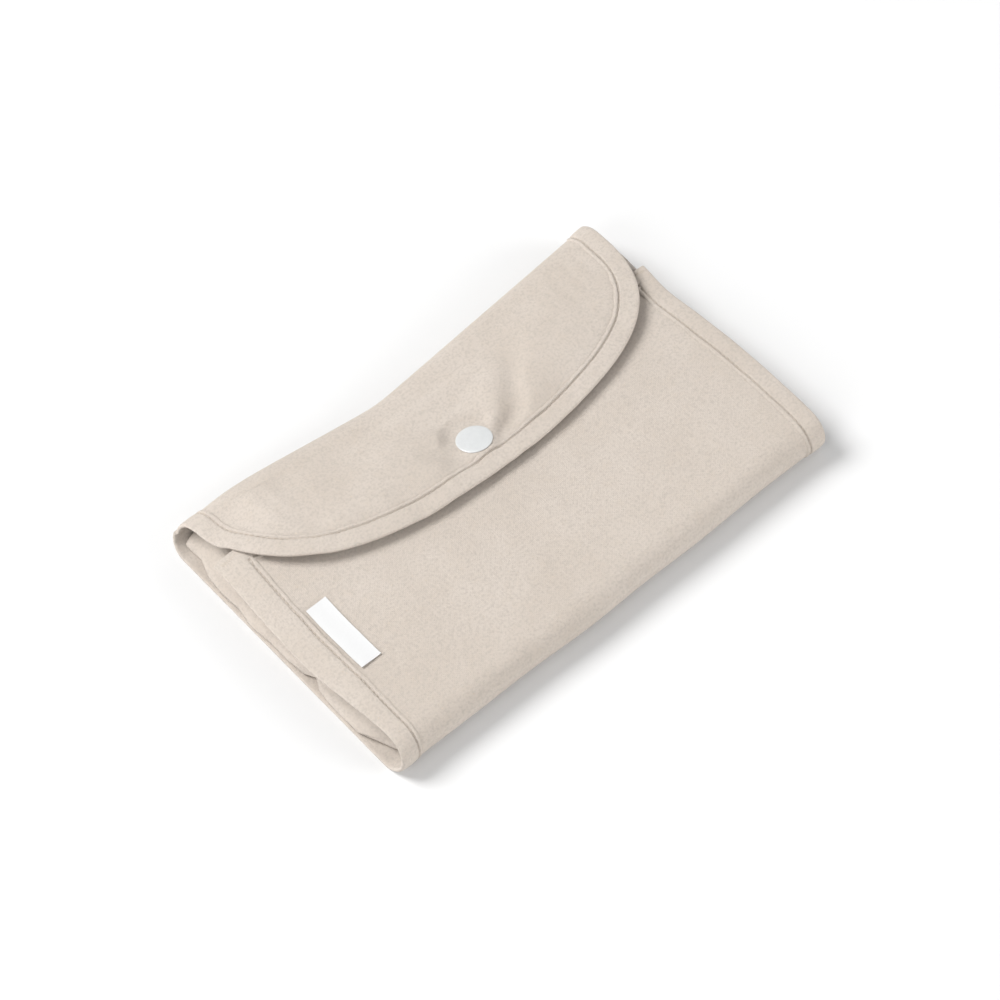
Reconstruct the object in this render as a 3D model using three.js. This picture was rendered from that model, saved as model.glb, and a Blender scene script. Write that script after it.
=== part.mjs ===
// Travel changing pad, folded shut: a canvas cover wrapped round a folded mat and closed by a press stud.
// Units are millimetres. +X runs along the folds, +Y towards the fold that carries the flap, +Z up.
import * as THREE from 'three';

// ---- driving dimensions -------------------------------------------------------------------------
const PACK_LENGTH = 220;        // along the folds
const PACK_WIDTH = 144;         // from the near fold to the flap fold
const CLEARANCE = 0.3;          // between pieces that touch
const HINGE_CLEARANCE = 1.0;    // between the near fold and the front panel that swings on it
const CANVAS = 1.0;             // one cover panel
const BAND = 1.8;               // edge band: canvas folded over the panel's edge
const BAND_WIDTH = 9.5;

const PLY = 0.35;               // each of the mat's three plies
const PLY_GAP = 0.2;
const MAT_NEAR = -64;           // ends of the folded mat, inside the two folds of the cover
const MAT_FAR = 69;
const MAT_LEFT_TURN = -101;     // centres of the mat's two rounded ends
const MAT_RIGHT_TURN = 101;
const MAT_OUTER_END = 104;      // the outer end of the mat, on top of the stack
const MAT_BINDING = 4;
const TURN_STEPS = 6;

const FRONT_FAR = 42;           // the front panel ends here, under the flap
const FLAP_HALF_LENGTH = 109;
const FLAP_TIP = -1;
const FLAP_POWER = 2.5;         // superellipse exponent of the flap's rounded edge
const FLAP_STEPS = 40;

const STUD_X = 2.5;
const STUD_Y = 16.5;
const CAP_RADIUS = 7.5;
const CAP_HEIGHT = 1.6;
const CAP_RIM = 0.4;            // height of the cap's edge below its dome
const DOME_STEPS = 5;
const PRONG_RADIUS = 1.2;
const PRONG_HOLE = 1.6;
const PRONG_REACH = 0.9;        // the base's prong ends this far above the front panel
const HEAD_RADIUS = 2.3;        // the stud's head, which snaps into the socket
const HEAD_CHAMFER = 0.4;
const HEAD_PLAY = 0.6;          // between the head and the socket's wall
const NECK_RADIUS = 2;
const STUD_FLANGE = 0.6;
const SOCKET_RADIUS = 3.9;
const SOCKET_HEIGHT = 1.6;
const SOCKET_ROOF = 0.3;
const FLANGE_RADIUS = 5.2;
const FLANGE_EDGE = 0.5;
const FLANGE_ROOT = 0.8;
const BASE_RADIUS = 6;
const BASE_THICKNESS = 1;
const ROUND_STEPS = 24;

const LABEL_SIZE = [11, 34, 0.4];
const LABEL_CENTRE = [-93.5, -16];
const TACK_SIZE = [6, 1.2, 0.4];

// ---- levels, worked out from the stack of layers ------------------------------------------------
const MAT_LAYER = 3 * PLY + 2 * PLY_GAP;
const LAYER_PITCH = MAT_LAYER + PLY_GAP;
const BUNDLE = 3 * MAT_LAYER + 2 * PLY_GAP;
const BUNDLE_PITCH = BUNDLE + PLY_GAP;
const MAT_BOTTOM = BAND + CLEARANCE;
const MAT_TOP = MAT_BOTTOM + 3 * BUNDLE + 2 * PLY_GAP;

const BASE_BOTTOM = MAT_TOP + CLEARANCE;
const BASE_TOP = BASE_BOTTOM + BASE_THICKNESS;
const FRONT_BOTTOM = BASE_TOP + CLEARANCE;
const FRONT_TOP = FRONT_BOTTOM + CANVAS;
const STUD_BOTTOM = FRONT_TOP + CLEARANCE;
const SOCKET_BOTTOM = STUD_BOTTOM + STUD_FLANGE + CLEARANCE;
const SOCKET_TOP = SOCKET_BOTTOM + SOCKET_HEIGHT;
const SOCKET_CEILING = SOCKET_TOP - SOCKET_ROOF;
const STUD_TOP = SOCKET_CEILING - CLEARANCE;
const FLAP_BOTTOM = SOCKET_TOP + CLEARANCE;
const FLAP_TOP = FLAP_BOTTOM + CANVAS;
const CAP_BOTTOM = FLAP_TOP + CLEARANCE;

const NEAR_RADIUS = FRONT_TOP / 2;
const NEAR_CENTRE = -PACK_WIDTH / 2 + NEAR_RADIUS;
const FAR_RADIUS = FLAP_TOP / 2;
const FAR_CENTRE = PACK_WIDTH / 2 - FAR_RADIUS;
const BACK_FAR = FAR_CENTRE + FAR_RADIUS / 2;
const SPINE_MARGIN = 0.3 * FAR_RADIUS;
const HALF = PACK_LENGTH / 2;
const PANEL_HALF = HALF - BAND_WIDTH - CLEARANCE;

// ---- materials ----------------------------------------------------------------------------------
const finish = (color, roughness) => new THREE.MeshStandardMaterial({ color, roughness, metalness: 0 });
const canvas = () => finish(0xe0d5c7, 0.95);
const cotton = () => finish(0xe2d8cb, 0.95);
const wadding = () => finish(0xf2f0ea, 1.0);
const backing = () => finish(0xd9d2c6, 0.6);
const plastic = () => finish(0xf0f0ee, 0.35);
const satin = () => finish(0xf6f6f4, 0.5);
const thread = () => finish(0xd8cbb8, 0.8);

const pad = new THREE.Group();

function addPiece(name, geometry, material) {
  const mesh = new THREE.Mesh(geometry, material);
  mesh.name = name;
  pad.add(mesh);
}

// ---- shape helpers ------------------------------------------------------------------------------
function block(low, high) {
  const size = high.map((value, axis) => value - low[axis]);
  const geometry = new THREE.BoxGeometry(...size);
  return geometry.translate(...low.map((value, axis) => value + size[axis] / 2));
}

// Raises a flat outline, drawn in X and Y, from one level to another.
function plate(shape, bottom, top) {
  const options = { depth: top - bottom, bevelEnabled: false, curveSegments: ROUND_STEPS };
  return new THREE.ExtrudeGeometry(shape, options).translate(0, 0, bottom);
}

function roundHole(radius) {
  const hole = new THREE.Path();
  hole.absarc(STUD_X, STUD_Y, radius, 0, 2 * Math.PI, true);
  return hole;
}

// Turns a profile of radius and height about the stud's axis.
function turned(profile) {
  const points = profile.map(([radius, height]) => new THREE.Vector2(radius, height));
  const geometry = new THREE.LatheGeometry(points, ROUND_STEPS);
  return geometry.rotateX(Math.PI / 2).translate(STUD_X, STUD_Y, 0);
}

// Half a ring in Y and Z, open towards +Y.
function halfRing(centre, radius, thickness) {
  const shape = new THREE.Shape();
  shape.absarc(centre, radius, radius, 0.5 * Math.PI, 1.5 * Math.PI, false);
  shape.absarc(centre, radius, radius - thickness, 1.5 * Math.PI, 0.5 * Math.PI, true);
  shape.closePath();
  return shape;
}

// Extrudes a section drawn in Y and Z along X.
function alongX(shape, low, high) {
  const options = { depth: high - low, bevelEnabled: false, curveSegments: 2 * TURN_STEPS };
  const turn = new THREE.Matrix4().makeBasis(
    new THREE.Vector3(0, 1, 0),
    new THREE.Vector3(0, 0, 1),
    new THREE.Vector3(1, 0, 0),
  );
  return new THREE.ExtrudeGeometry(shape, options).applyMatrix4(turn).translate(low, 0, 0);
}

// Walks a folded path in a plane: straight runs, each followed by a half turn to the right
// unless its radius is 0. Every stop holds a point (a, b) and a heading.
function foldedPath(start, runs) {
  const stops = [];
  let [a, b] = start;
  let heading = 0;
  for (const { length, radius } of runs) {
    stops.push({ a, b, heading });
    a += length * Math.cos(heading);
    stops.push({ a, b, heading });
    const centre = b - radius * Math.cos(heading);
    for (let step = 1; step < TURN_STEPS && radius > 0; step += 1) {
      const bearing = heading - Math.PI * step / TURN_STEPS;
      stops.push({
        a: a - radius * Math.sin(bearing),
        b: centre + radius * Math.cos(bearing),
        heading: bearing,
      });
    }
    b = 2 * centre - b;
    heading -= radius > 0 ? Math.PI : 0;
  }
  return stops;
}

// The point a given distance to the left of a stop.
function beside({ a, b, heading }, distance) {
  return [a - distance * Math.sin(heading), b + distance * Math.cos(heading)];
}

// ---- the mat ------------------------------------------------------------------------------------
// The mat is folded in three across its width, and that bundle is folded in three along its length.
const nearTurn = MAT_NEAR + BUNDLE / 2;
const farTurn = MAT_FAR - LAYER_PITCH / 2 - MAT_LAYER / 2;

// The path of the mat's middle across its width, in Y and the bundle's depth.
function acrossWidth(margin) {
  return foldedPath([nearTurn + margin, 0], [
    { length: farTurn - nearTurn - margin, radius: LAYER_PITCH / 2 },
    { length: farTurn - nearTurn, radius: LAYER_PITCH },
    { length: MAT_FAR - nearTurn - margin, radius: 0 },
  ]);
}

// A section of the bundle, from one distance to another beside the path across its width.
function layeredSection(path, right, left) {
  const there = path.map((stop) => beside(stop, left));
  const back = path.map((stop) => beside(stop, right)).reverse();
  return new THREE.Shape([...there, ...back].map(([width, depth]) => new THREE.Vector2(depth, width)));
}

const lowLevel = MAT_BOTTOM + BUNDLE / 2;
const middleLevel = lowLevel + BUNDLE_PITCH;
const highLevel = middleLevel + BUNDLE_PITCH;
const bindingMargin = MAT_BINDING + CLEARANCE;
const alongLength = foldedPath([MAT_LEFT_TURN + bindingMargin, middleLevel], [
  { length: MAT_RIGHT_TURN - MAT_LEFT_TURN - bindingMargin, radius: BUNDLE_PITCH / 2 },
  { length: MAT_RIGHT_TURN - MAT_LEFT_TURN, radius: BUNDLE_PITCH },
  { length: MAT_OUTER_END - MAT_LEFT_TURN - bindingMargin, radius: 0 },
]);

// Sweeps a section of the bundle along stops in X and Z.
function sweep(section, stops) {
  const steps = stops.length - 1;
  const geometry = new THREE.ExtrudeGeometry(section, { depth: steps, steps, bevelEnabled: false });
  const position = geometry.attributes.position;
  for (let index = 0; index < position.count; index += 1) {
    const stop = stops[Math.round(position.getZ(index))];
    const [x, z] = beside(stop, -position.getX(index));
    position.setXYZ(index, x, position.getY(index), z);
  }
  geometry.computeVertexNormals();
  return geometry;
}

function addMat() {
  const plies = [['mat_backing', backing()], ['mat_wadding', wadding()], ['mat_top_cotton', cotton()]];
  const path = acrossWidth(bindingMargin);
  plies.forEach(([name, material], index) => {
    const right = -MAT_LAYER / 2 + index * (PLY + PLY_GAP);
    addPiece(name, sweep(layeredSection(path, right, right + PLY), alongLength), material);
  });

  const sideBindings = [
    ['mat_inner_side_binding', nearTurn, 0],
    ['mat_outer_side_binding', MAT_FAR - MAT_BINDING, LAYER_PITCH],
  ];
  for (const [name, near, depth] of sideBindings) {
    const stops = [{ a: near, b: depth, heading: 0 }, { a: near + MAT_BINDING, b: depth, heading: 0 }];
    const section = layeredSection(stops, -MAT_LAYER / 2, MAT_LAYER / 2);
    addPiece(name, sweep(section, alongLength), canvas());
  }

  const ends = [
    ['mat_inner_end_binding', MAT_LEFT_TURN, middleLevel],
    ['mat_outer_end_binding', MAT_OUTER_END - MAT_BINDING, highLevel],
  ];
  const wholeSection = layeredSection(acrossWidth(0), -MAT_LAYER / 2, MAT_LAYER / 2);
  for (const [name, left, level] of ends) {
    const stops = [{ a: left, b: level, heading: 0 }, { a: left + MAT_BINDING, b: level, heading: 0 }];
    addPiece(name, sweep(wholeSection, stops), canvas());
  }
}

// ---- the cover ----------------------------------------------------------------------------------
const sides = [['left', -HALF], ['right', HALF - BAND_WIDTH]];

function addBack() {
  const near = NEAR_CENTRE + CLEARANCE;
  addPiece('back_panel', block([-PANEL_HALF, near, 0], [PANEL_HALF, BACK_FAR, CANVAS]), canvas());
  for (const [side, x] of sides) {
    addPiece(`back_${side}_band`, block([x, near, 0], [x + BAND_WIDTH, BACK_FAR, BAND]), canvas());
  }
}

function addNearFold() {
  const panel = halfRing(NEAR_CENTRE, NEAR_RADIUS, CANVAS);
  addPiece('near_fold', alongX(panel, -PANEL_HALF, PANEL_HALF), canvas());
  const band = halfRing(NEAR_CENTRE, NEAR_RADIUS, BAND);
  for (const [side, x] of sides) {
    addPiece(`near_fold_${side}_band`, alongX(band, x, x + BAND_WIDTH), canvas());
  }
}

function addFarSpine() {
  const far = PACK_WIDTH / 2;
  const low = SPINE_MARGIN;
  const high = FLAP_TOP - SPINE_MARGIN;
  addPiece('far_spine', block([-PANEL_HALF, far - CANVAS, low], [PANEL_HALF, far, high]), canvas());
  for (const [side, x] of sides) {
    const band = block([x, far - BAND, low], [x + BAND_WIDTH, far, high]);
    addPiece(`far_spine_${side}_band`, band, canvas());
  }
}

function addFrontPanel() {
  const near = NEAR_CENTRE + HINGE_CLEARANCE;
  const far = FRONT_FAR - BAND_WIDTH - CLEARANCE;
  const shape = new THREE.Shape([
    new THREE.Vector2(-PANEL_HALF, near),
    new THREE.Vector2(PANEL_HALF, near),
    new THREE.Vector2(PANEL_HALF, far),
    new THREE.Vector2(-PANEL_HALF, far),
  ]);
  shape.holes.push(roundHole(PRONG_HOLE));
  addPiece('front_panel', plate(shape, FRONT_BOTTOM, FRONT_TOP), canvas());

  const bottom = FRONT_TOP - BAND;
  for (const [side, x] of sides) {
    const band = block([x, near, bottom], [x + BAND_WIDTH, FRONT_FAR, FRONT_TOP]);
    addPiece(`front_${side}_band`, band, canvas());
    const tackX = x + (BAND_WIDTH - TACK_SIZE[0]) / 2;
    const low = [tackX, FRONT_FAR - TACK_SIZE[1] - 2, STUD_BOTTOM];
    const high = low.map((value, axis) => value + TACK_SIZE[axis]);
    addPiece(`front_${side}_bar_tack`, block(low, high), thread());
  }
  const farBand = block([-PANEL_HALF, far + CLEARANCE, bottom], [PANEL_HALF, FRONT_FAR, FRONT_TOP]);
  addPiece('front_top_band', farBand, canvas());
}

function addLabel() {
  const [width, length, thickness] = LABEL_SIZE;
  const [x, y] = LABEL_CENTRE;
  const low = [x - width / 2, y - length / 2, STUD_BOTTOM];
  const high = [x + width / 2, y + length / 2, STUD_BOTTOM + thickness];
  addPiece('label', block(low, high), satin());
}

// The flap's rounded outline from left to right, moved in from its edge.
function flapOutline(inset) {
  const points = [];
  const reach = BACK_FAR - FLAP_TIP - inset;
  for (let step = 0; step <= FLAP_STEPS; step += 1) {
    const angle = Math.PI * step / FLAP_STEPS;
    const along = Math.sign(Math.cos(angle)) * Math.abs(Math.cos(angle)) ** (2 / FLAP_POWER);
    const down = Math.abs(Math.sin(angle)) ** (2 / FLAP_POWER);
    const x = (inset - FLAP_HALF_LENGTH) * along;
    points.push(new THREE.Vector2(x, step % FLAP_STEPS === 0 ? BACK_FAR : BACK_FAR - reach * down));
  }
  return points;
}

function addFlap() {
  const panel = new THREE.Shape(flapOutline(BAND_WIDTH + CLEARANCE));
  panel.holes.push(roundHole(PRONG_HOLE));
  addPiece('flap_panel', plate(panel, FLAP_BOTTOM, FLAP_TOP), canvas());
  const band = new THREE.Shape([...flapOutline(0), ...flapOutline(BAND_WIDTH).reverse()]);
  addPiece('flap_edge_band', plate(band, FLAP_TOP - BAND, FLAP_TOP), canvas());
}

// ---- the press stud -----------------------------------------------------------------------------
function addPressStud() {
  const dome = [];
  for (let step = 0; step <= DOME_STEPS; step += 1) {
    const angle = 0.5 * Math.PI * step / DOME_STEPS;
    const rise = CAP_BOTTOM + CAP_RIM + (CAP_HEIGHT - CAP_RIM) * Math.sin(angle);
    dome.push([step === DOME_STEPS ? 0 : CAP_RADIUS * Math.cos(angle), rise]);
  }
  const cap = [
    [0, SOCKET_CEILING],
    [PRONG_RADIUS, SOCKET_CEILING],
    [PRONG_RADIUS, CAP_BOTTOM],
    [CAP_RADIUS, CAP_BOTTOM],
    ...dome,
  ];
  addPiece('flap_snap_cap', turned(cap), plastic());

  const socket = [
    [PRONG_HOLE, SOCKET_CEILING],
    [HEAD_RADIUS + HEAD_PLAY, SOCKET_CEILING],
    [HEAD_RADIUS + HEAD_PLAY, SOCKET_BOTTOM],
    [SOCKET_RADIUS, SOCKET_BOTTOM],
    [SOCKET_RADIUS, SOCKET_TOP - FLANGE_ROOT],
    [FLANGE_RADIUS, SOCKET_TOP - FLANGE_EDGE],
    [FLANGE_RADIUS, SOCKET_TOP],
    [PRONG_HOLE, SOCKET_TOP],
    [PRONG_HOLE, SOCKET_CEILING],
  ];
  addPiece('flap_snap_socket', turned(socket), plastic());

  const studBore = FRONT_TOP + PRONG_REACH;
  const stud = [
    [0, studBore],
    [PRONG_HOLE, studBore],
    [PRONG_HOLE, STUD_BOTTOM],
    [FLANGE_RADIUS, STUD_BOTTOM],
    [FLANGE_RADIUS, SOCKET_BOTTOM - CLEARANCE],
    [NECK_RADIUS, SOCKET_BOTTOM - CLEARANCE],
    [HEAD_RADIUS, STUD_TOP - HEAD_CHAMFER],
    [HEAD_RADIUS - HEAD_CHAMFER / 2, STUD_TOP],
    [0, STUD_TOP],
  ];
  addPiece('front_snap_stud', turned(stud), plastic());

  const base = [
    [0, BASE_BOTTOM],
    [BASE_RADIUS, BASE_BOTTOM],
    [BASE_RADIUS, BASE_TOP],
    [PRONG_RADIUS, BASE_TOP],
    [PRONG_RADIUS, studBore - CLEARANCE],
    [0, studBore - CLEARANCE],
  ];
  addPiece('front_snap_base', turned(base), plastic());
}

addMat();
addBack();
addNearFold();
addFarSpine();
addFrontPanel();
addLabel();
addFlap();
addPressStud();

export default pad;
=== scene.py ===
"""Looks of the folded travel changing pad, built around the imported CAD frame."""
import math

import bpy
import numpy as np
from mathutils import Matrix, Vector


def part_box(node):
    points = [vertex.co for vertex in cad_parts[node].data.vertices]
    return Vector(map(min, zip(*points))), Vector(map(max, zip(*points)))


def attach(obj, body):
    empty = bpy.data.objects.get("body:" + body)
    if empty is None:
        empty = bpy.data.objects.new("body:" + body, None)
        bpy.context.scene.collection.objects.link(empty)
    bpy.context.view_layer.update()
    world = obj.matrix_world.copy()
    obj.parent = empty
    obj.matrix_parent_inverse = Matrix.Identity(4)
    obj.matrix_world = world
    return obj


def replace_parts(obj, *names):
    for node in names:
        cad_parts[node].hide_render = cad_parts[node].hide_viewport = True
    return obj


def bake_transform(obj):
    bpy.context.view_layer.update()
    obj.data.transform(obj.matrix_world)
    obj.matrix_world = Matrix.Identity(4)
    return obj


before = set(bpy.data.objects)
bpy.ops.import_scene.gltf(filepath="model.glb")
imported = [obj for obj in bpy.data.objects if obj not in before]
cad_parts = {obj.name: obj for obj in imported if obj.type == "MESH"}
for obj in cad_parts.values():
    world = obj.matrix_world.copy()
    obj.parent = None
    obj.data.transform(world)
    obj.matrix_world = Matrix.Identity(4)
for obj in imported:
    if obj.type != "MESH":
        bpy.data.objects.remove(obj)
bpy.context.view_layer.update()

# Lengths in this script are millimetres; meshes are scaled to metres as they are made.
MM = 0.001


def box(node):
    low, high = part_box(node)
    return np.array(low) / MM, np.array(high) / MM


# ---- sizes, read from the frame ------------------------------------------------------------------
HALF = box("back_right_band")[1][0]
BAND_WIDTH = box("back_right_band")[1][0] - box("back_right_band")[0][0]
NEAR_EDGE = box("near_fold")[0][1]
NEAR_RADIUS = box("near_fold")[1][2] / 2
NEAR_CENTRE = NEAR_EDGE + NEAR_RADIUS
FAR_EDGE = box("far_spine")[1][1]
FLAP_TOP = box("flap_panel")[1][2]
FAR_RADIUS = FLAP_TOP / 2
FRONT_FAR = box("front_top_band")[1][1]
FLAP_TIP = box("flap_edge_band")[0][1]
CAP_LOW, CAP_HIGH = box("flap_snap_cap")
CAP_RADIUS = (CAP_HIGH[0] - CAP_LOW[0]) / 2
STUD = (CAP_LOW + CAP_HIGH) / 2
MAT_LOW, MAT_HIGH = box("mat_top_cotton")

FLAP_REACH = FAR_EDGE - FAR_RADIUS - FLAP_TIP
FLAP_HALF = HALF - 1.5

CANVAS = 0.7            # thickness of one canvas ply
BAND = 1.7              # thickness of the turned edge
RECESS = 0.45           # the canvas lies this far under the edge band's face
QUARTER = FAR_RADIUS * math.pi / 2
KINK = -12              # the flap fold sags most here
SAG_IN = 10.3           # how far the flap fold is drawn in there
SAG_DOWN = 4.0
STITCH_PITCH = 2.5
STITCH_INSET = 8.2      # from the edge to the row of topstitches
CAP_LEAN = 0.28         # the pulled cloth tips the stud's cap back by this slope
SEAT = box("flap_panel")[1][2] + 0.5
OPEN_LIMIT = 28.9       # the flap stays under this height less OPEN_SLOPE times y
OPEN_SLOPE = 0.07


# ---- helpers -------------------------------------------------------------------------------------
def smooth(t):
    t = np.clip(t, 0, 1)
    return t * t * (3 - 2 * t)


def bell(t):
    return np.exp(-t * t / 2)


def ripples(seed, wavelength, count=10):
    """Gentle random waves of about one wavelength and unit height."""
    random = np.random.RandomState(seed)
    heading = random.uniform(0, 2 * math.pi, count)
    number = 2 * math.pi / (wavelength * random.uniform(0.7, 1.5, count))
    phase = random.uniform(0, 2 * math.pi, count)

    def height(x, y):
        total = 0
        for h, k, p in zip(heading, number, phase):
            total = total + np.sin(k * (np.cos(h) * x + np.sin(h) * y) + p)
        return total / math.sqrt(count)

    return height


WIDE = ripples(3, 70)
MEDIUM = ripples(7, 26)
FINE = ripples(11, 9)


def link(name, vertices, faces, uv=None, sharp=None):
    """A mesh object from points in millimetres."""
    mesh = bpy.data.meshes.new(name)
    mesh.from_pydata((np.asarray(vertices) * MM).tolist(), [], faces)
    mesh.update()
    mesh.polygons.foreach_set("use_smooth", [True] * len(mesh.polygons))
    if uv is not None:
        layer = mesh.uv_layers.new(name="UVMap")
        loops = np.zeros(len(mesh.loops), int)
        mesh.loops.foreach_get("vertex_index", loops)
        layer.data.foreach_set("uv", (np.asarray(uv)[loops] / 100).astype(np.float32).ravel())
    if sharp:
        marks = {tuple(sorted(edge)) for edge in sharp}
        flags = [tuple(sorted(edge.vertices)) in marks for edge in mesh.edges]
        attribute = mesh.attributes.new("sharp_edge", "BOOLEAN", "EDGE")
        attribute.data.foreach_set("value", flags)
    obj = bpy.data.objects.new(name, mesh)
    bpy.context.scene.collection.objects.link(obj)
    return obj


def normals_of(surface, x, s, side):
    """Unit normals of a surface, out of the packet."""
    step = 0.4
    across = surface(x + step, s) - surface(x - step, s)
    along = surface(x, s + step) - surface(x, s - step)
    normal = side * np.cross(across, along)
    return normal / np.maximum(np.linalg.norm(normal, axis=-1, keepdims=True), 1e-9)


def two_faces(name, surface, x, s, side, inset, thickness):
    """A sheet of cloth over a grid of pattern points, with an outer and an inner face."""
    face = surface(x, s)
    normal = normals_of(surface, x, s, side)
    outer = face - normal * inset
    inner = face - normal * (inset + thickness)
    rows, columns = x.shape
    count = rows * columns
    points = np.concatenate([outer.reshape(-1, 3), inner.reshape(-1, 3)])
    uv = np.stack([x, s], -1).reshape(-1, 2)
    index = np.arange(count).reshape(rows, columns)
    quads = np.stack([index[:-1, :-1], index[:-1, 1:], index[1:, 1:], index[1:, :-1]], -1).reshape(-1, 4)
    if side > 0:
        quads = quads[:, ::-1]
    faces = quads.tolist() + (quads[:, ::-1] + count).tolist()
    rim = np.concatenate([index[0, :-1], index[:-1, -1], index[-1, :0:-1], index[:0:-1, 0]])
    turned = np.roll(rim, -1)
    order = (turned, rim) if side < 0 else (rim, turned)
    for a, b in zip(*order):
        faces.append([a, b, b + count, a + count])
    sharp = [(a, b) for a, b in zip(rim, turned)] + [(a + count, b + count) for a, b in zip(rim, turned)]
    return link(name, points, faces, np.concatenate([uv, uv]), sharp)


def strip(name, sections, uv=None, closed=False):
    """A closed solid through a row of sections, each a ring of points."""
    rows, ring = sections.shape[:2]
    index = np.arange(rows * ring).reshape(rows, ring)
    faces = []
    for row in range(rows if closed else rows - 1):
        after = (row + 1) % rows
        for k in range(ring):
            n = (k + 1) % ring
            faces.append([index[row, k], index[row, n], index[after, n], index[after, k]])
    sharp = []
    if not closed:
        faces.append(index[0, ::-1].tolist())
        faces.append(index[-1].tolist())
        for row in (0, rows - 1):
            sharp += [(index[row, k], index[row, (k + 1) % ring]) for k in range(ring)]
    obj = link(name, sections.reshape(-1, 3), faces, uv, sharp)
    fix_outward(obj)
    return obj


def fix_outward(obj):
    """Turns a closed mesh the right way out."""
    mesh = obj.data
    mesh.calc_loop_triangles()
    co = np.array([v.co for v in mesh.vertices])
    tri = np.array([t.vertices for t in mesh.loop_triangles])
    a, b, c = co[tri[:, 0]], co[tri[:, 1]], co[tri[:, 2]]
    if np.einsum("ij,ij->i", a, np.cross(b, c)).sum() < 0:
        mesh.flip_normals()


# ---- the shape of the packet ---------------------------------------------------------------------
def sag(x):
    """How much the flap fold sags along its length, from 0 at its ends to 1 at the kink."""
    soft = 5
    gone = np.sqrt((x - KINK) ** 2 + soft * soft) - soft
    span = np.where(x < KINK, KINK + HALF, HALF - KINK)
    return np.clip(1 - gone / (span - soft * 0.9), 0, 1)


def far_radius(x):
    return FAR_RADIUS - SAG_DOWN / 2 * sag(x) - 2.6 * bell((x + HALF) / 17)


def settle(points):
    """Moves points to where the soft packet really lies: its ends bulge, and its corners slump."""
    x, y, z = points[..., 0], points[..., 1], points[..., 2]
    right = smooth((x - 30) / 78)
    left = smooth((-x - 30) / 78)
    up = z / (2 * NEAR_RADIUS)
    far = smooth((y + 20) / 70)
    x_right = right * (2.2 * (1 - 0.9 * far * smooth(3 * up - 2)) + 3.9 * bell((y + 38) / 44))
    x_left = left * (-2.6 + up * (3.1 + 2.2 * far))
    near = smooth((x - 20) / 90) * smooth(-y / 72)
    corner = bell((x + 112) / 13) * smooth((y - 30) / 40)
    low = 1 - 0.12 * corner
    return np.stack([x + x_right + x_left, y + 2.0 * near - 2.2 * corner, z * low], -1)


def far_centre(x):
    return FAR_EDGE - SAG_IN * sag(x) - far_radius(x)


def front_top(x, y):
    """Height of the front panel's face."""
    along = 1 - np.abs(x / HALF) ** 3
    dome = 1.3 * along * smooth((y - NEAR_CENTRE) / 28)
    away = np.hypot(x - STUD[0], y - STUD[1])
    dimple = 1.3 * bell(away / 15)
    waves = (0.28 * WIDE(x, y) + 0.14 * MEDIUM(x, y)) * smooth((y - NEAR_CENTRE) / 20)
    return 2 * NEAR_RADIUS + dome - dimple + waves


def front_surface(x, s):
    """The front panel, the near fold and the near half of the back; s runs from the panel's far edge."""
    flat = FRONT_FAR - NEAR_CENTRE
    arc = math.pi * NEAR_RADIUS
    top = s < flat
    y = FRONT_FAR - s
    angle = np.clip((s - flat) / NEAR_RADIUS, 0, math.pi)
    # the fold is a little slack: it swells towards the bottom and wanders along its length
    swell = 1 + 0.05 * np.sin(angle) ** 2 * WIDE(x, 40)
    round_y = NEAR_CENTRE - NEAR_RADIUS * np.sin(angle) * swell
    round_z = NEAR_RADIUS * (1 + np.cos(angle))
    under_y = NEAR_CENTRE + (s - flat - arc)
    out_y = np.where(top, y, np.where(s < flat + arc, round_y, under_y))
    out_z = np.where(top, front_top(x, np.maximum(y, NEAR_CENTRE)), round_z)
    # the panel's left hem hangs out over the mat, and its far right corner sticks out a little
    hang = np.where(top, smooth((-x - 100.5) / 9.5) * smooth((y + 64) / 50), 0)
    corner = np.where(top, smooth((x - 84) / 22) * smooth((y - 18) / 28), 0)
    moved = np.stack([2.8 * corner - 4.0 * hang, -4.5 * corner, -1.0 * hang], -1)
    return settle(np.stack([x + 0 * s, out_y, out_z], -1)) + moved


def fold(along, across, start, end, width, spread):
    """A straight-running fold: 1 on its line, fading across it and towards its ends."""
    gone = np.clip((along - start) / (end - start), 0, 1)
    fade = smooth((along - start) / 5) * (1 - smooth((gone - 0.35) / 0.65))
    return bell(across / (width + spread * gone)) * fade


def flap_lift(dx, dy):
    """Folds of the flap round the press stud, set out along and across the direction they run in."""
    turn = math.radians(48.7)
    up = dx * math.cos(turn) + dy * math.sin(turn)
    side = dx * math.sin(turn) - dy * math.cos(turn)
    bend = 8.5 + 7.5 * smooth((up + 3) / 18)
    valley = -4.0 * fold(up, side - bend, -5, 62, 2.4, 4.0)
    ridge = 2.4 * fold(up, side - bend - 6.0, -6, 58, 2.8, 5.0)
    inner = 1.0 * fold(up, side - bend + 7.0, 2, 50, 3.2, 5.0)
    left = 2.1 * fold(-side, up - 0.5, 4, 44, 2.5, 4.0)
    under = -1.9 * fold(-side, up + 6.5, 2, 38, 2.6, 4.0)
    lower = 0.9 * fold(-side, up + 13.5, 8, 34, 2.8, 3.0)
    pull = -2.2 * bell((dx + 0.36 * np.maximum(dy, 0)) / (6 + 0.25 * np.maximum(dy, 0)))
    pull = pull * smooth((dy - 2) / 8) * (1 - smooth((dy - 24) / 26))
    return valley + ridge + inner + left + under + lower + pull


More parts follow.
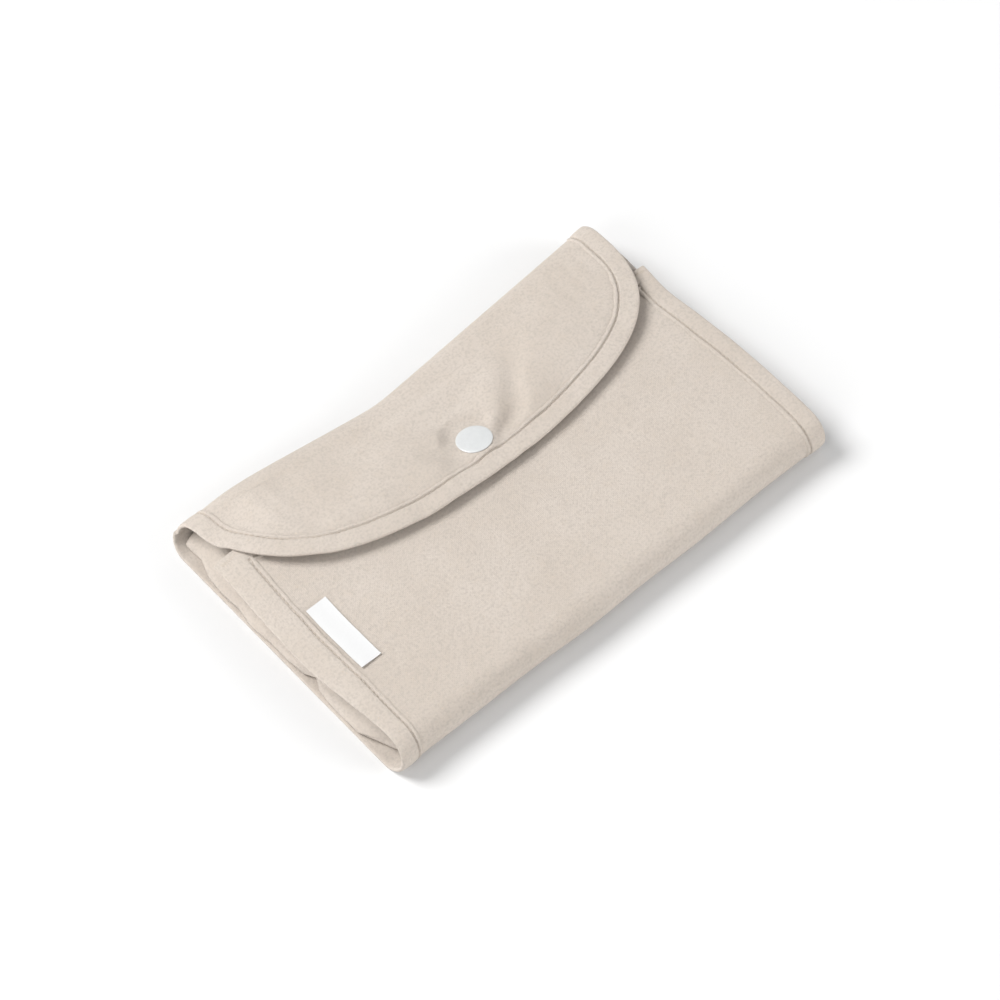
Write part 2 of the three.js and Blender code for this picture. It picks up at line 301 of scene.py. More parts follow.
def flap_surface(x, q):
    """The flap; q runs from the fold's crown towards the tip, and below 0 round the fold."""
    radius = far_radius(x)
    centre = far_centre(x)
    angle = np.clip(-q / QUARTER, 0, 1.2) * math.pi / 2
    nominal = FAR_EDGE - FAR_RADIUS
    y = nominal - q - (nominal - centre) * (1 - smooth(q / 58))
    rim = (np.abs(x / FLAP_HALF) ** 2.4 + (np.maximum(q, 0) / FLAP_REACH) ** 2.4) ** (1 / 2.4)
    loose = 1.1 + 1.6 * (1 - bell((x - STUD[0] - 4) / 24))
    rest = front_top(x, y) + BAND + loose + 2.6 * smooth((1 - rim) * FLAP_REACH / 26)
    edge = smooth(q / 40)
    high = 2 * radius * (1 - edge) + rest * edge
    fullness = (1 - sag(x)) ** 0.7 * (1 - np.abs(x / HALF) ** 6)
    high = high + 1.7 * np.sin(math.pi * np.clip(q / 52, 0, 1)) * fullness
    high = high + (0.32 * MEDIUM(x + 9, q) + 0.30 * WIDE(x, q) + 0.07 * FINE(x, q)) * smooth(q / 16)
    dx = x - STUD[0]
    dy = y - STUD[1]
    inside = (1 - rim) * FLAP_REACH
    # right under the cap the folds stop short of the stitches
    clear = 3 + 5 * bell((dx - 7) / 11)
    high = high + flap_lift(dx, dy) * smooth(q / 10) * smooth((inside - clear) / 11)
    high = high + 1.3 * bell((dy + 12.5) / 4.0) * bell((dx + 2) / 17)
    high = high + 0.16 * FINE(0.9 * x, 0.9 * q) * bell((inside - 13) / 5)
    high = high + 0.9 * MEDIUM(0.8 * x - 20, 0.8 * q + 5) * smooth((-x - 52) / 22) * bell((inside - 20) / 13)
    held = 1 - smooth((np.hypot(dx, dy) - 7.3 - 3.3 * smooth(dy / 6)) / 4.2)
    high = high * (1 - held) + (SEAT - CAP_LEAN * dy) * held
    # turned open, the flap's highest folds may only just touch the floor
    above = OPEN_LIMIT - OPEN_SLOPE * y
    high = above - np.logaddexp(0, (above - high) * 2.2) / 2.2
    below = front_top(x, y) + 1.7 - 3.2 * smooth((y - FRONT_FAR - 1) / 8)
    high = below + np.logaddexp(0, (high - below) * 1.8) / 1.8
    round_y = centre + radius * np.sin(angle)
    round_z = radius * (1 + np.cos(angle))
    out_y = np.where(q < 0, round_y, y)
    out_z = np.where(q < 0, round_z, high)
    return settle(np.stack([x + 0 * q, out_y, out_z], -1))


def back_surface(x, s):
    """The far fold's lower quarter and the far half of the back; s runs down from the fold's middle."""
    radius = far_radius(x)
    angle = np.clip(1 - s / QUARTER, 0, 1.2) * math.pi / 2
    centre = far_centre(x)
    flat_y = centre * (1 - (s - QUARTER) / (FAR_EDGE - FAR_RADIUS))
    y = np.where(s < QUARTER, centre + radius * np.sin(angle), flat_y)
    z = np.where(s < QUARTER, radius * (1 - np.cos(angle)), 0)
    return settle(np.stack([x + 0 * s, y, z], -1))


BACK_LENGTH = QUARTER + FAR_EDGE - FAR_RADIUS
FRONT_LENGTH = FRONT_FAR - 2 * NEAR_CENTRE + math.pi * NEAR_RADIUS


# ---- the flap's outline --------------------------------------------------------------------------
def flap_edge(inset, count=121):
    """The flap's edge in pattern points, from the fold's left end to its right end, with inward steps."""
    angle = np.linspace(0, math.pi, count)
    power = np.where(angle < math.pi / 2, 2.3, 2.55)
    x = -np.sign(np.cos(angle)) * np.abs(np.cos(angle)) ** (2 / power) * FLAP_HALF
    q = np.abs(np.sin(angle)) ** (2 / power) * FLAP_REACH
    fold = np.linspace(-QUARTER, 0, 14)[:-1]
    x = np.concatenate([np.full(fold.size, -FLAP_HALF), x, np.full(fold.size, FLAP_HALF)])
    q = np.concatenate([fold, q, fold[::-1]])
    points = resample(np.stack([x, q], -1), 1.6)
    tangent = np.gradient(points, axis=0)
    tangent /= np.linalg.norm(tangent, axis=1, keepdims=True)
    inward = np.stack([tangent[:, 1], -tangent[:, 0]], -1)
    return points + inward * inset, inward


def resample(points, step):
    """Even steps along a line of points."""
    gone = np.concatenate([[0], np.cumsum(np.linalg.norm(np.diff(points, axis=0), axis=1))])
    count = max(int(round(gone[-1] / step)), 2)
    at = np.linspace(0, gone[-1], count + 1)
    return np.stack([np.interp(at, gone, points[:, k]) for k in range(points.shape[1])], -1)


# ---- edge bands ----------------------------------------------------------------------------------
BAND_PROFILE = [
    (0.0, -0.85), (0.12, -0.45), (0.5, -0.12), (1.2, 0.02), (3.0, 0.10), (5.5, 0.08), (7.2, 0.0),
    (7.75, -0.08), (8.05, -0.90), (8.35, -0.90), (8.65, -0.08), (9.3, 0.0), (10.0, -0.08), (10.3, -0.6),
    (10.3, -1.1), (9.1, -1.62), (6.0, -1.7), (3.0, -1.7), (1.2, -1.68), (0.5, -1.55), (0.12, -1.25),
]


def band(name, surface, side, edge, inward):
    """A turned and topstitched edge along pattern points, with its stitches."""
    rows = []
    wobble = FINE(edge[:, 0] * 1.5, edge[:, 1] * 1.5)
    drift = MEDIUM(edge[:, 0], edge[:, 1])
    for a, b in BAND_PROFILE:
        reach = a + (0.16 * drift + (0.22 * wobble if a > 9 else 0) if a > 5 else 0)
        at = edge + inward * np.reshape(reach, (-1, 1))
        base = surface(at[:, 0], at[:, 1])
        normal = normals_of(surface, at[:, 0], at[:, 1], side)
        puff = 0.16 * np.sin(math.pi * a / BAND_WIDTH) * (1 + 0.8 * wobble) if b > -0.6 else 0
        rows.append(base + normal * np.reshape(b + puff, (-1, 1)))
    sections = np.stack(rows, 1)
    gone = np.concatenate([[0], np.cumsum(np.linalg.norm(np.diff(edge, axis=0), axis=1))])
    uv = np.stack(np.broadcast_arrays(gone[:, None], np.array([p[0] for p in BAND_PROFILE])[None]), -1)
    obj = strip(name, sections, uv.reshape(-1, 2))
    at = edge + inward * STITCH_INSET
    line = surface(at[:, 0], at[:, 1])
    normal = normals_of(surface, at[:, 0], at[:, 1], side)
    threads = stitch_row(name + "_topstitch", line - normal * 0.42, normal)
    return obj, threads


def stitch_row(name, line, normal, pitch=STITCH_PITCH, length=2.0, radius=0.22):
    """A row of thread stitches along a line of points."""
    gone = np.concatenate([[0], np.cumsum(np.linalg.norm(np.diff(line, axis=0), axis=1))])
    middles = np.arange(pitch, gone[-1] - pitch / 2, pitch)
    sample = lambda values, at: np.stack([np.interp(at, gone, values[:, k]) for k in range(3)], -1)
    start = sample(line, middles - length / 2)
    end = sample(line, middles + length / 2)
    up = sample(normal, middles)
    return capsules(name, start, end, up, radius)


def capsules(name, start, end, up, radius, rings=5, around=6):
    """Short round-ended threads from start to end points."""
    along = end - start
    length = np.linalg.norm(along, axis=1, keepdims=True)
    along = along / length
    across = np.cross(along, up)
    across /= np.linalg.norm(across, axis=1, keepdims=True)
    lift = np.cross(across, along)
    points, faces = [], []
    turn = 2 * math.pi * np.arange(around) / around
    for k in range(len(start)):
        first = len(points)
        points.append(start[k])
        for ring in range(1, rings):
            t = ring / rings
            fat = radius * math.sin(math.pi * t) ** 0.5
            middle = start[k] + along[k] * length[k] * t + lift[k] * 0.12 * math.sin(math.pi * t)
            for a in turn:
                points.append(middle + across[k] * fat * math.cos(a) + lift[k] * fat * math.sin(a))
        points.append(end[k])
        last = len(points) - 1
        for j in range(around):
            n = (j + 1) % around
            faces.append([first, first + 1 + n, first + 1 + j])
            for ring in range(rings - 2):
                a = first + 1 + ring * around
                faces.append([a + j, a + n, a + around + n, a + around + j])
            faces.append([last, last - around + j, last - around + n])
    obj = link(name, np.array(points), faces)
    fix_outward(obj)
    return obj


# ---- materials -----------------------------------------------------------------------------------
def material(name, roughness, sheen=0.0, coat=0.0, specular=0.3):
    made = bpy.data.materials.new(name)
    made.use_nodes = True
    shader = made.node_tree.nodes["Principled BSDF"]
    shader.inputs["Roughness"].default_value = roughness
    shader.inputs["Specular IOR Level"].default_value = specular
    shader.inputs["Sheen Weight"].default_value = sheen
    shader.inputs["Sheen Roughness"].default_value = 0.6
    shader.inputs["Coat Weight"].default_value = coat
    return made, made.node_tree, shader


def node(tree, kind, **values):
    """A node with named inputs set; an input that is a socket is linked."""
    made = tree.nodes.new(kind)
    for key, value in values.items():
        if key in ("operation", "blend_type", "data_type", "feature", "wave_type", "noise_dimensions"):
            setattr(made, key, value)
            continue
        name, number = (key.split("__") + ["0"])[:2]
        wanted = name.replace("_", " ")
        found = [i for i in made.inputs if i.name.lower() == wanted.lower() and i.enabled]
        socket = found[int(number)]
        if hasattr(value, "is_output"):
            tree.links.new(value, socket)
        else:
            socket.default_value = value
    return made


def math_node(tree, operation, a, b=0.0):
    made = tree.nodes.new("ShaderNodeMath")
    made.operation = operation
    for socket, value in zip(made.inputs, (a, b)):
        if hasattr(value, "is_output"):
            tree.links.new(value, socket)
        else:
            socket.default_value = value
    return made.outputs[0]


def mix(tree, factor, a, b, kind="MIX"):
    made = tree.nodes.new("ShaderNodeMix")
    made.data_type = "RGBA"
    made.blend_type = kind
    for name, value in (("Factor_Float", factor), ("A_Color", a), ("B_Color", b)):
        socket = next(i for i in made.inputs if i.identifier == name)
        if hasattr(value, "is_output"):
            tree.links.new(value, socket)
        else:
            socket.default_value = value
    return next(o for o in made.outputs if o.identifier == "Result_Color")


def ramp(tree, value, low, high):
    made = tree.nodes.new("ShaderNodeMapRange")
    made.interpolation_type = "SMOOTHSTEP"
    tree.links.new(value, made.inputs["Value"])
    made.inputs["From Min"].default_value = low
    made.inputs["From Max"].default_value = high
    return made.outputs["Result"]


def weave(tree, coordinates, pitch):
    """Height of a plain weave, 0 to 1, over coordinates in millimetres."""
    split = node(tree, "ShaderNodeSeparateXYZ", Vector=coordinates)
    u = math_node(tree, "MULTIPLY", split.outputs[0], 1 / pitch)
    v = math_node(tree, "MULTIPLY", split.outputs[1], 1 / pitch)
    warp = math_node(tree, "ABSOLUTE", math_node(tree, "SINE", math_node(tree, "MULTIPLY", u, math.pi)))
    weft = math_node(tree, "ABSOLUTE", math_node(tree, "SINE", math_node(tree, "MULTIPLY", v, math.pi)))
    parity = math_node(tree, "ADD", math_node(tree, "FLOOR", u), math_node(tree, "FLOOR", v))
    over = math_node(tree, "PINGPONG", parity, 1.0)
    first = math_node(tree, "MULTIPLY", over, warp)
    second = math_node(tree, "MULTIPLY", math_node(tree, "SUBTRACT", 1.0, over), weft)
    return math_node(tree, "ADD", first, second)


# two sizes of seed fleck: scale of the cells, size in a cell, chance of none, strength, offset
FLECKS = ((0.34, 0.10, 0.66, 0.35, 0.0), (0.15, 0.05, 0.50, 0.45, 31.0))


def cloth(name, colour, flecks=1.0, pitch=0.62):
    """Unbleached plain-weave cotton with slubs, small seed flecks and soft mottling."""
    made, tree, shader = material(name, 0.93, sheen=0.08, specular=0.12)
    source = tree.nodes.new("ShaderNodeTexCoord")
    scaled = node(tree, "ShaderNodeVectorMath", operation="SCALE",
                  Vector=source.outputs["UV"], Scale=100.0)
    place = scaled.outputs["Vector"]
    scaled = node(tree, "ShaderNodeVectorMath", operation="SCALE",
                  Vector=source.outputs["Object"], Scale=1000.0)
    solid = scaled.outputs["Vector"]

    def noise(vector, scale, detail=2.0, rough=0.5):
        return node(tree, "ShaderNodeTexNoise", Vector=vector, Scale=scale,
                    Detail=detail, Roughness=rough).outputs["Fac"]

    def stretched(x, y):
        return node(tree, "ShaderNodeVectorMath", operation="MULTIPLY",
                    Vector=place, Vector__1=(x, y, 1.0)).outputs["Vector"]

    mottling = noise(solid, 0.035, 3.0)
    blotch = noise(solid, 0.22, 4.0, 0.6)
    warp_slub = noise(stretched(1.9, 0.10), 1.0, 2.0)
    weft_slub = noise(stretched(0.10, 1.9), 1.0, 2.0)
    grain = noise(solid, 0.9, 3.0, 0.7)
    threads = weave(tree, place, pitch)

    light = tuple(min(c * 1.03, 1) for c in colour) + (1,)
    dark = tuple(c * f for c, f in zip(colour, (0.965, 0.955, 0.94))) + (1,)
    tone = mix(tree, ramp(tree, mottling, 0.3, 0.7), dark, light)
    warm = tuple(c * f for c, f in zip(colour, (0.97, 0.93, 0.87))) + (1,)
    tone = mix(tree, math_node(tree, "MULTIPLY", ramp(tree, blotch, 0.45, 0.8), 0.30), tone, warm)
    slub = math_node(tree, "ADD", ramp(tree, warp_slub, 0.55, 0.8), ramp(tree, weft_slub, 0.55, 0.8))
    pale = tuple(min(c * 1.12, 1) for c in colour) + (1,)
    tone = mix(tree, math_node(tree, "MULTIPLY", slub, 0.55), tone, pale)
    deep = tuple(c * 0.77 for c in colour) + (1,)
    tone = mix(tree, math_node(tree, "MULTIPLY", ramp(tree, grain, 0.42, 0.68), 0.62), tone, deep)
    gaps = math_node(tree, "SUBTRACT", 1.0, threads)
    tone = mix(tree, math_node(tree, "MULTIPLY", gaps, 0.16), tone, deep)

    for scale, size, chance, depth, seed in FLECKS:
        moved = node(tree, "ShaderNodeVectorMath", operation="ADD",
                     Vector=solid, Vector__1=(seed, seed, seed))
        cells = node(tree, "ShaderNodeTexVoronoi", Vector=moved.outputs["Vector"], Scale=scale)
        near = math_node(tree, "LESS_THAN", cells.outputs["Distance"], size * 0.9)
        pick = node(tree, "ShaderNodeSeparateColor", Color=cells.outputs["Color"])
        chosen = math_node(tree, "GREATER_THAN", pick.outputs["Red"], chance)
        fleck = math_node(tree, "MULTIPLY", math_node(tree, "MULTIPLY", near, chosen), depth * flecks)
        seed_tone = mix(tree, pick.outputs["Green"], (0.42, 0.31, 0.20, 1), (0.62, 0.52, 0.40, 1))
        tone = mix(tree, fleck, tone, seed_tone)
    tree.links.new(tone, shader.inputs["Base Color"])

    height = math_node(tree, "ADD", math_node(tree, "MULTIPLY", threads, 0.55),
                       math_node(tree, "MULTIPLY", math_node(tree, "ADD", slub, grain), 0.5))
    bump = node(tree, "ShaderNodeBump", Strength=0.5, Distance=0.00022, Height=height)
    wide_bump = node(tree, "ShaderNodeBump", Strength=0.3, Distance=0.0007, Height=blotch,
                     Normal=bump.outputs["Normal"])
    tree.links.new(wide_bump.outputs["Normal"], shader.inputs["Normal"])
    return made


CREAM = (0.503, 0.449, 0.399)
canvas = cloth("canvas", CREAM)
edge_canvas = cloth("edge_canvas", tuple(c * 1.01 for c in CREAM))
mat_cotton = cloth("mat_cotton", CREAM, flecks=0.6)


def thread_material():
    made, tree, shader = material("thread", 0.6, sheen=0.2)
    source = tree.nodes.new("ShaderNodeTexCoord")
    twist = node(tree, "ShaderNodeTexWave", Vector=source.outputs["Object"], Scale=1400.0, Distortion=2.0)
    tone = mix(tree, twist.outputs["Fac"], (0.40, 0.34, 0.28, 1), (0.52, 0.46, 0.39, 1))
    tree.links.new(tone, shader.inputs["Base Color"])
    return made


def plastic_material():
    made, tree, shader = material("snap_plastic", 0.28, coat=0.15, specular=0.5)
    source = tree.nodes.new("ShaderNodeTexCoord")
    cloud = node(tree, "ShaderNodeTexNoise", Vector=source.outputs["Object"], Scale=600.0, Detail=2.0)
    tone = mix(tree, cloud.outputs["Fac"], (0.50, 0.51, 0.51, 1), (0.56, 0.57, 0.57, 1))
    tree.links.new(tone, shader.inputs["Base Color"])
    bump = node(tree, "ShaderNodeBump", Strength=0.08, Distance=0.0002, Height=cloud.outputs["Fac"])
    tree.links.new(bump.outputs["Normal"], shader.inputs["Normal"])
    shader.inputs["Subsurface Weight"].default_value = 0.12
    shader.inputs["Subsurface Radius"].default_value = (0.004, 0.004, 0.004)
    return made


def satin_material():
    made, tree, shader = material("label_satin", 0.45, sheen=0.15, specular=0.4)
    source = tree.nodes.new("ShaderNodeTexCoord")
    scaled = node(tree, "ShaderNodeVectorMath", operation="MULTIPLY",
                  Vector=source.outputs["Object"], Vector__1=(500.0, 4200.0, 500.0))
    rib = node(tree, "ShaderNodeTexNoise", Vector=scaled.outputs["Vector"], Scale=1.0, Detail=2.0)
    tone = mix(tree, rib.outputs["Fac"], (0.585, 0.585, 0.585, 1), (0.645, 0.645, 0.645, 1))
    tree.links.new(tone, shader.inputs["Base Color"])
    bump = node(tree, "ShaderNodeBump", Strength=0.2, Distance=0.0001, Height=rib.outputs["Fac"])
    tree.links.new(bump.outputs["Normal"], shader.inputs["Normal"])
    return made


thread = thread_material()
plastic = plastic_material()
satin = satin_material()


def dress(obj, look):
    obj.data.materials.clear()
    obj.data.materials.append(look)
    return obj


# ---- the cover -----------------------------------------------------------------------------------
def spaced(low, high, step):
    return np.linspace(low, high, max(int(round((high - low) / step)), 2) + 1)


def straight_edge(side, low, high):
    """A straight edge of the cover in pattern points, and its inward direction."""
    s = spaced(low, high, 1.5)
    x = np.full(s.size, side * HALF)
    return np.stack([x, s], -1), np.tile([-side, 0.0], (s.size, 1))


def add_front():
    inner = HALF - BAND_WIDTH + 3
    x, s = np.meshgrid(spaced(-inner, inner, 2.0), spaced(4, FRONT_LENGTH, 1.5), indexing="ij")
    panel = two_faces("front_canvas", front_surface, x, s, -1, RECESS, CANVAS)
    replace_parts(dress(panel, canvas), "front_panel", "near_fold")
    pieces = [panel]
    for side, word in ((-1, "left"), (1, "right")):
        edge, inward = straight_edge(side, 0, FRONT_LENGTH)
        hem, threads = band(f"front_{word}_hem", front_surface, -1, edge, inward)
        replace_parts(dress(hem, edge_canvas), f"front_{word}_band", f"near_fold_{word}_band")
        dress(threads, thread)
        pieces += [hem, threads]
    for piece in pieces:
        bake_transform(piece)
    x = spaced(-HALF + 4, HALF - 4, 2.0)
    edge = np.stack([x, np.zeros(x.size)], -1)
    top, threads = band("front_top_hem", front_surface, -1, edge, np.tile([0.0, 1.0], (x.size, 1)))
    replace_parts(dress(top, edge_canvas), "front_top_band")
    dress(threads, thread)
    for piece in (top, threads):
        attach(piece, "front_panel")


def add_back():
    inner = HALF - BAND_WIDTH + 3
    x, s = np.meshgrid(spaced(-inner, inner, 2.0), spaced(0, BACK_LENGTH, 1.5), indexing="ij")
    panel = two_faces("back_canvas", back_surface, x, s, 1, RECESS, CANVAS)
    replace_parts(dress(panel, canvas), "back_panel", "far_spine")
    pieces = [panel]
    for side, word in ((-1, "left"), (1, "right")):
        edge, inward = straight_edge(side, 0, BACK_LENGTH)
        hem, threads = band(f"back_{word}_hem", back_surface, 1, edge, inward)
        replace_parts(dress(hem, edge_canvas), f"back_{word}_band", f"far_spine_{word}_band")
        dress(threads, thread)
        pieces += [hem, threads]
    for piece in pieces:
        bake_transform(piece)


def add_flap():
    edge, inward = flap_edge(0)
    hem, threads = band("flap_hem", flap_surface, -1, edge, inward)
    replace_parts(dress(hem, edge_canvas), "flap_edge_band")
    dress(threads, thread)

    # columns across the flap, each from the middle of the fold to just inside the hem
    rim = edge + inward * (BAND_WIDTH - 3)
    limit = FLAP_HALF - BAND_WIDTH + 3
    across = limit * np.sin(np.linspace(-math.pi / 2, math.pi / 2, 150))
    middle = slice(*np.flatnonzero(rim[:, 1] > -1)[[0, -1]])
    reach = np.interp(across, rim[middle, 0], rim[middle, 1])
    share = np.linspace(0, 1, 70)
    x = np.repeat(across[:, None], share.size, 1)
    q = -QUARTER + share[None] * (reach[:, None] + QUARTER)
    panel = two_faces("flap_canvas", flap_surface, x, q, -1, RECESS, CANVAS)
    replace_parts(dress(panel, canvas), "flap_panel")
    for piece in (panel, hem, threads):
        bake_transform(piece)


# ---- the mat -------------------------------------------------------------------------------------
MAT_LAYER = 1.45
LAYER_PITCH = 1.72
BUNDLE = 3 * MAT_LAYER + 2 * (LAYER_PITCH - MAT_LAYER)
BUNDLE_PITCH = BUNDLE + 0.25
MAT_BOTTOM = 1.9
TURN = 12


def folded_path(start, runs, step):
    """Straight runs, each followed by a half turn to the right unless its radius is 0."""
    stops = []
    a, b = start
    heading = 0.0
    for length, radius in runs:
        for gone in spaced(0, length, step):
            stops.append((a + gone * math.cos(heading), b, heading))
        a += length * math.cos(heading)
        centre = b - radius * math.cos(heading)
        for k in range(1, TURN if radius else 0):
            turned = heading - math.pi * k / TURN
            stops.append((a - radius * math.sin(turned), centre + radius * math.cos(turned), turned))
        b = 2 * centre - b
        heading -= math.pi if radius else 0
    return np.array(stops)


def beside(stops, distance):
    a, b, heading = stops[:, 0], stops[:, 1], stops[:, 2]
    return np.stack([a - distance * np.sin(heading), b + distance * np.cos(heading)], -1)


def cradle(x, y):
    """How far the cover's inside rises towards its two folds."""
    rise = 0
    for gone, radius in ((y - far_centre(x), far_radius(x) - 2.2), (NEAR_CENTRE - y, NEAR_RADIUS - 2.2)):
        gone = np.clip(gone, 0, 0.85 * radius)
        rise = rise + radius - np.sqrt(radius * radius - gone * gone)
    return rise


def mat_sections(path, right, left, along):
    """Rings of the folded bundle at each stop along the mat."""
    ring = np.concatenate([beside(path, left), beside(path, right)[::-1]])
    y, depth = ring[:, 0], ring[:, 1]
    near, far = MAT_LOW[1], MAT_HIGH[1]
    rows = []
    for x0, z0, heading in along:
        x = x0 + depth * math.sin(heading)
        z = z0 - depth * math.cos(heading)
        share = (y - near) / (far - near)
        drawn = SAG_IN * sag(x) * smooth((share - 0.35) / 0.65)
        slack = 1.2 * WIDE(x, 3 * z) * smooth(1 - share * 3)
        out = 0.5 * WIDE(y, 2 * z) + 0.25 * MEDIUM(y, 3 * z)
        end = smooth((np.abs(x) - 92) / 14)
        left_end = smooth((-x - 88) / 14)
        right_end = smooth((x - 88) / 14)
        crumple = 0.35 * MEDIUM(y + 3 * depth, x) + 0.3 * FINE(y, 2 * x + z) * end
        # the rounded left end draws back at both corners and is dented under the front's edge
        corner = 7 * smooth((-y - 46) / 20) + 2.5 * smooth((y - 46) / 14)
        dent = 4.2 * bell((y - 27) / 4.5) * bell((z - 12) / 5)
        dent = dent + 3.4 * bell((y + 17) / 2.0) * bell((z - 3) / 3)
        crumple = crumple + 0.8 * left_end * FINE(1.5 * y, 3 * z) * smooth((-y - 40) / 12)
        # the top layers stick out at the far right corner
        tongue = 6.3 * right_end * smooth((y - 34) / 12) * smooth((z - 11) / 3)
        drawn_in = corner + dent - 1.2 + 7.5 * smooth((z - 3.5) / 9)
        x = x + out * end + left_end * drawn_in + tongue
        z = z * (1 - 0.34 * left_end)
        back = y - drawn - 1.5 * slack - 1.6 * smooth((share - 0.78) / 0.22)
        # it is pressed in under the stud's base, and lies on the back panel and its hems
        pressed = 1.2 * bell(np.hypot(x - STUD[0], back - STUD[1]) / 11) * smooth((z - 12) / 3)
        height = z + crumple * (0.4 + 0.6 * end) - pressed
        under = 1.4 + 0.7 * smooth((np.abs(x) - 88) / 12) + cradle(x, back)
        height = under + np.logaddexp(0, (height - under) * 5) / 5
        rows.append(np.stack([x, back, height], -1))
    return settle(np.stack(rows))


def add_mat():
    low = MAT_BOTTOM + BUNDLE / 2
    middle = low + BUNDLE_PITCH
    left, right = -103.0, 102.5
    along = folded_path((left + 4, middle), [
        (right - left - 4, BUNDLE_PITCH / 2), (right - left, BUNDLE_PITCH), (104 - left, 0)], 5.0)
    near = MAT_LOW[1] + BUNDLE / 2
    far = MAT_HIGH[1] - LAYER_PITCH / 2 - MAT_LAYER / 2
    across = folded_path((near, 0), [
        (far - near, LAYER_PITCH / 2), (far - near, LAYER_PITCH), (MAT_HIGH[1] - near - 1, 0)], 5.0)
    sections = mat_sections(across, -MAT_LAYER / 2, MAT_LAYER / 2, along)
    sheet = strip("mat", sections)
    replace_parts(dress(sheet, mat_cotton), "mat_backing", "mat_wadding", "mat_top_cotton",
                "mat_inner_side_binding", "mat_outer_side_binding", "mat_inner_end_binding",
                "mat_outer_end_binding")
    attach(sheet, "cover_back")


# ---- label, press stud and bar tacks -------------------------------------------------------------
def add_label():
    low, high = box("label")
    x, y = np.meshgrid(spaced(low[0] + 0.4, high[0] - 0.9, 0.8), spaced(low[1], high[1], 0.8), indexing="ij")

    def label_surface(x, s):
        lift = 0.75 + 0.25 * bell((s - low[1]) / 3) + 0.15 * np.sin(x * 0.5)
        base = front_surface(x, FRONT_FAR - s)
        return base + np.stack([0 * x, 0 * x, lift - RECESS], -1)

    obj = two_faces("label_patch", label_surface, x, y, 1, 0, 0.35)
    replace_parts(dress(obj, satin), "label")
    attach(obj, "front_panel")


def turned_piece(name, cad_node, body, profile, lean=0.0, around=64):
    """A round piece on the stud's axis from its profile of radius and height, leaning back by a slope."""
    points, faces = [], []
    turn = 2 * math.pi * np.arange(around) / around
    for radius, height in profile:
        for a in turn:
            off = radius * math.sin(a)
            points.append([STUD[0] + radius * math.cos(a), STUD[1] + off, height - lean * off])
    rows = len(profile)
    for row in range(rows - 1):
        for k in range(around):
            n = (k + 1) % around
            a, b = row * around, (row + 1) * around
            faces.append([a + k, a + n, b + n, b + k])
    faces.append(list(range(around))[::-1])
    faces.append([(rows - 1) * around + k for k in range(around)])
    obj = link(name, np.array(points), faces)
    fix_outward(obj)
    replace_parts(dress(obj, plastic), cad_node)
    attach(obj, body)
    return obj


def add_cap():
    low = SEAT - 0.7
    profile = [(0.2, low), (CAP_RADIUS - 0.5, low), (CAP_RADIUS - 0.1, low + 0.1), (CAP_RADIUS, low + 0.45)]
    for k in range(1, 18):
        angle = math.pi / 2 * k / 18
        profile.append((CAP_RADIUS * math.cos(angle), low + 0.45 + 0.85 * math.sin(angle) ** 0.9))
    profile.append((0.2, low + 1.3))
    turned_piece("snap_cap", "flap_snap_cap", "flap", profile, CAP_LEAN)


def add_tack(word):
    """A bar tack: a row of close stitches across the far end of a front edge."""
    low, high = box(f"front_{word}_bar_tack")
    middle = (low + high) / 2
    count = 9
    x = middle[0] + np.linspace(-2.6, 2.6, count)
    s = FRONT_FAR - middle[1]
    start = front_surface(x - 0.25, np.full(count, s - 1.1))
    end = front_surface(x + 0.25, np.full(count, s + 1.1))
    up = normals_of(front_surface, x, np.full(count, s), -1)
    piece = capsules(f"front_{word}_tack", start + up * 0.05, end + up * 0.05, up, 0.26)
    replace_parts(dress(piece, thread), f"front_{word}_bar_tack")
    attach(piece, "front_panel")


def main():
    add_front()
    add_back()
    add_flap()
    add_mat()
    add_label()
    add_cap()
    for name in ("flap_snap_socket", "front_snap_stud", "front_snap_base"):
        dress(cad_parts[name], plastic)
    for word in ("left", "right"):
        add_tack(word)


main()


# ---- floor, light and camera ---------------------------------------------------------------------
FLOOR_HALF = 1.4
FLOOR_COLOUR = (0.70, 0.70, 0.70, 1)
HORIZON_GLOW = 0.95     # world strength at the horizon, which falls by GLOW_FALL overhead
GLOW_FALL = 0.60
LIGHTS = (              # name, place in metres, size in metres, power in watts
    ("key", (-1.12, 1.52, 2.16), 1.6, 90),
    ("fill", (1.6, -2.0, 0.9), 2.0, 46),
    ("left_fill", (-2.1, -0.56, 1.4), 1.6, 20),
)
AZIMUTH = -41.3         # the camera's direction, in degrees
ELEVATION = 57.05
DISTANCE = 1.571
SENSOR = 36
LENS = 3.91             # focal length as a share of the sensor
TARGET = (0.0013, -0.0005, 0.0)


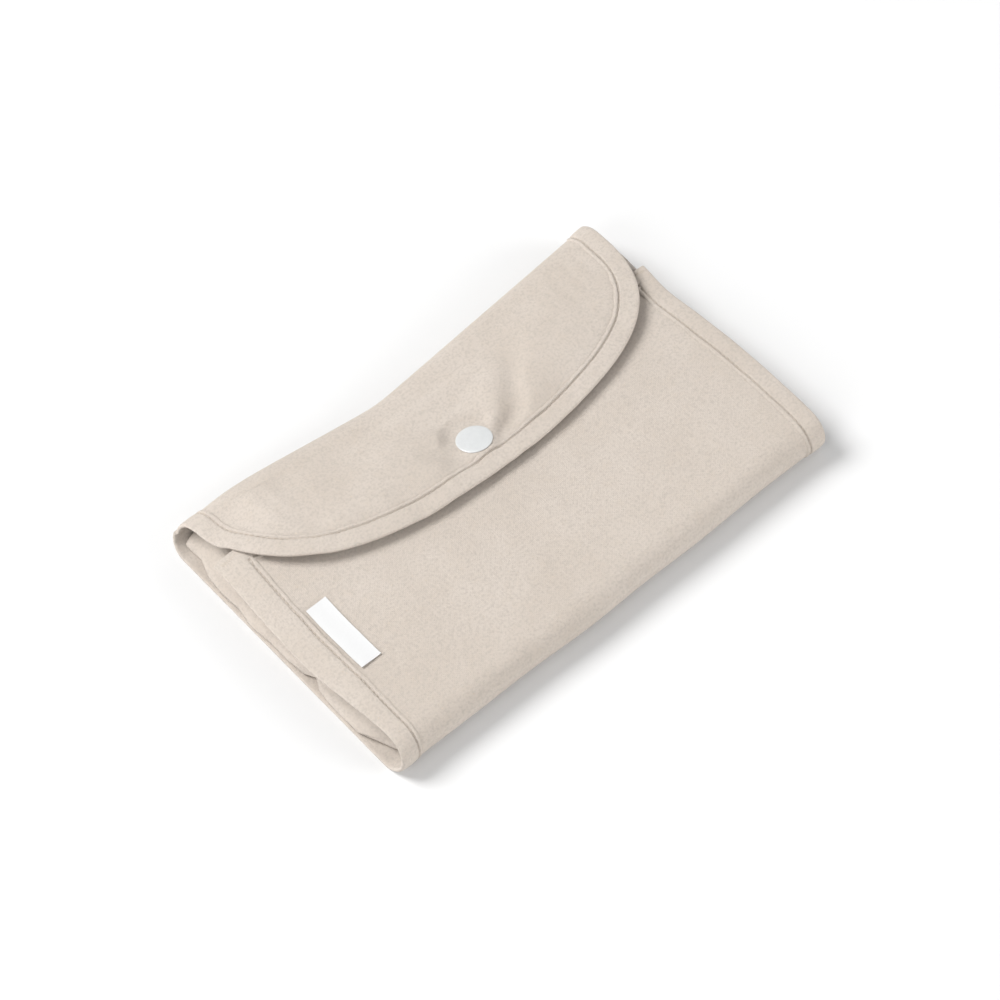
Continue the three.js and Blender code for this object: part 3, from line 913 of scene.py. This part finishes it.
def add_floor():
    mesh = bpy.data.meshes.new("floor")
    corners = [(-1, -1), (1, -1), (1, 1), (-1, 1)]
    mesh.from_pydata([(a * FLOOR_HALF, b * FLOOR_HALF, 0) for a, b in corners], [], [(0, 1, 2, 3)])
    floor = bpy.data.objects.new("floor", mesh)
    bpy.context.scene.collection.objects.link(floor)
    made, _, shader = material("floor_white", 0.9, specular=0.1)
    shader.inputs["Base Color"].default_value = FLOOR_COLOUR
    mesh.materials.append(made)


def add_area(name, place, target, size, power):
    lamp = bpy.data.lights.new(name, "AREA")
    lamp.shape = "DISK"
    lamp.size = size
    lamp.energy = power
    obj = bpy.data.objects.new(name, lamp)
    bpy.context.scene.collection.objects.link(obj)
    obj.location = place
    aim(obj, target)


def aim(obj, target):
    obj.rotation_euler = (Vector(target) - obj.location).to_track_quat("-Z", "Y").to_euler()


def add_light():
    world = bpy.data.worlds.new("studio")
    bpy.context.scene.world = world
    world.use_nodes = True
    background = world.node_tree.nodes["Background"]
    background.inputs["Color"].default_value = (1.0, 1.0, 1.0, 1)
    tree = world.node_tree
    source = tree.nodes.new("ShaderNodeTexCoord")
    height = node(tree, "ShaderNodeSeparateXYZ", Vector=source.outputs["Generated"]).outputs[2]
    above = ramp(tree, height, 0.12, 0.55)
    glow = math_node(tree, "SUBTRACT", HORIZON_GLOW, math_node(tree, "MULTIPLY", above, GLOW_FALL))
    tree.links.new(glow, background.inputs["Strength"])
    for name, place, size, power in LIGHTS:
        add_area(name, place, (0, 0, 0), size, power)


def add_camera():
    azimuth, elevation = math.radians(AZIMUTH), math.radians(ELEVATION)
    data = bpy.data.cameras.new("camera")
    data.sensor_width = SENSOR
    data.lens = SENSOR * LENS
    camera = bpy.data.objects.new("camera", data)
    bpy.context.scene.collection.objects.link(camera)
    forward = (-math.sin(azimuth) * math.cos(elevation), math.cos(azimuth) * math.cos(elevation),
               -math.sin(elevation))
    camera.location = [t - DISTANCE * f for t, f in zip(TARGET, forward)]
    aim(camera, TARGET)
    data.clip_start = 0.01
    bpy.context.scene.camera = camera


add_floor()
add_light()
add_camera()
bpy.context.scene.view_settings.view_transform = "Standard"
